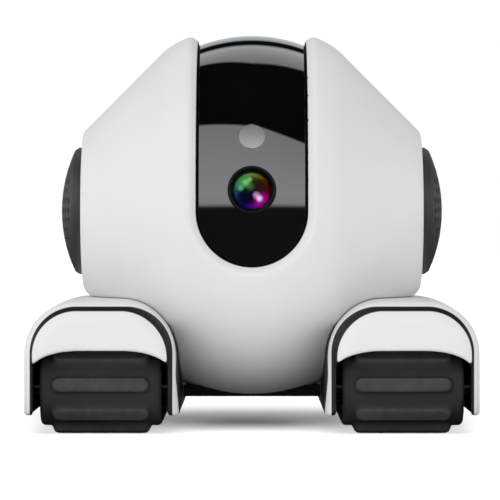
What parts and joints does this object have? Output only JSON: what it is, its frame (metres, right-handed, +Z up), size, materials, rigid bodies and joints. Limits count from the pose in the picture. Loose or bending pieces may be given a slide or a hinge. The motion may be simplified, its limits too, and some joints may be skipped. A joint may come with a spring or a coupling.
{
  "type": "robot pet camera",
  "caption": "Tracked home robot with a round white body and a camera head behind a glossy black visor that tilts in a slot; perforated side covers, rubber tracks under white covers.",
  "frame": {"origin": "on the floor under the middle of the body", "axes": "+Z up, the camera looks along -Y, +X along the body's axis to the right of a viewer who faces the camera"},
  "size_m": [0.1558, 0.134, 0.1398],
  "materials": {
    "shell_white": "fine satin moulded white",
    "visor_black": "polished black acrylic",
    "trim_black": "satin black",
    "lens_glass": "coated glass",
    "window_grey": "translucent grey, polished",
    "grille_dark": "fine moulded dark grey",
    "track_rubber": "matt black rubber",
    "inner_dark": "satin dark grey",
    "steel": "fine ground",
    "contact_brass": "polished",
    "board_green": "solder mask",
    "battery_wrap": "shrink wrap",
    "led_clear": "clear epoxy"
  },
  "bodies": {
    "base": {"front_shell": "shell_white", "rear_shell": "shell_white", "fender_left": "shell_white", "fender_right": "shell_white", "belly_pan": "trim_black", "speaker_left": "trim_black", "speaker_right": "trim_black", "button_switch": "trim_black", "ear_grille_left": "grille_dark", "ear_grille_right": "grille_dark", "ear_rim_left": "grille_dark", "ear_rim_right": "grille_dark", "track_belt_left": "track_rubber", "track_belt_right": "track_rubber", "chassis": "inner_dark", "pod_liner_left": "inner_dark", "pod_liner_right": "inner_dark", "bearing_bracket_left": "inner_dark", "bearing_bracket_right": "inner_dark", "usb_socket": "steel", "pan_screws": "steel", "pod_screws": "steel", "tilt_motor": "steel", "drive_motor_left": "steel", "drive_motor_right": "steel", "idler_axle_left": "steel", "idler_axle_right": "steel", "roller_pins_left": "steel", "roller_pins_right": "steel", "dock_contacts": "contact_brass", "main_board": "board_green", "io_board": "board_green", "battery_pack": "battery_wrap"},
    "head": {"visor": "visor_black", "head_frame": "inner_dark", "tilt_shaft": "steel", "lens_bezel": "trim_black", "front_lens": "lens_glass", "lens_barrel": "trim_black", "lens_holder": "trim_black", "image_sensor": "trim_black", "camera_board": "board_green", "sensor_window": "window_grey", "night_light_board": "board_green", "night_lights": "led_clear"},
    "drive_left": {"drive_wheel_left": "inner_dark", "motor_shaft_left": "steel"},
    "drive_right": {"drive_wheel_right": "inner_dark", "motor_shaft_right": "steel"},
    "idler_left": {"idler_wheel_left": "inner_dark"},
    "idler_right": {"idler_wheel_right": "inner_dark"},
    "front_roller_left": {"front_roller_left": "inner_dark"},
    "front_roller_right": {"front_roller_right": "inner_dark"},
    "rear_roller_left": {"rear_roller_left": "inner_dark"},
    "rear_roller_right": {"rear_roller_right": "inner_dark"},
    "button": {"power_button": "shell_white"}
  },
  "joints": [
    {"name": "head_tilt", "type": "hinge", "parent": "base", "child": "head", "pos_m": [0, 0, 0.077], "axis": [-1, 0, 0], "range_deg": [-10, 35]},
    {"name": "drive_spin_left", "type": "hinge", "parent": "base", "child": "drive_left", "pos_m": [-0.05175, 0.048, 0.0158], "axis": [1, 0, 0], "continuous": true},
    {"name": "idler_spin_left", "type": "hinge", "parent": "base", "child": "idler_left", "pos_m": [-0.05175, -0.048, 0.0158], "axis": [1, 0, 0], "continuous": true},
    {"name": "front_roller_spin_left", "type": "hinge", "parent": "base", "child": "front_roller_left", "pos_m": [-0.05175, -0.018, 0.0096], "axis": [1, 0, 0], "continuous": true},
    {"name": "rear_roller_spin_left", "type": "hinge", "parent": "base", "child": "rear_roller_left", "pos_m": [-0.05175, 0.018, 0.0096], "axis": [1, 0, 0], "continuous": true},
    {"name": "drive_spin_right", "type": "hinge", "parent": "base", "child": "drive_right", "pos_m": [0.05175, 0.048, 0.0158], "axis": [1, 0, 0], "continuous": true},
    {"name": "idler_spin_right", "type": "hinge", "parent": "base", "child": "idler_right", "pos_m": [0.05175, -0.048, 0.0158], "axis": [1, 0, 0], "continuous": true},
    {"name": "front_roller_spin_right", "type": "hinge", "parent": "base", "child": "front_roller_right", "pos_m": [0.05175, -0.018, 0.0096], "axis": [1, 0, 0], "continuous": true},
    {"name": "rear_roller_spin_right", "type": "hinge", "parent": "base", "child": "rear_roller_right", "pos_m": [0.05175, 0.018, 0.0096], "axis": [1, 0, 0], "continuous": true},
    {"name": "power_press", "type": "slide", "parent": "base", "child": "button", "axis": [0, -1, 0], "range_m": [0, 0.0006], "stiffness_N_per_m": 900}
  ],
  "couplings": [
    {"joint": "idler_spin_left", "follows": "drive_spin_left", "ratio": 1},
    {"joint": "front_roller_spin_left", "follows": "drive_spin_left", "ratio": 2.24},
    {"joint": "rear_roller_spin_left", "follows": "drive_spin_left", "ratio": 2.24},
    {"joint": "idler_spin_right", "follows": "drive_spin_right", "ratio": 1},
    {"joint": "front_roller_spin_right", "follows": "drive_spin_right", "ratio": 2.24},
    {"joint": "rear_roller_spin_right", "follows": "drive_spin_right", "ratio": 2.24}
  ]
}
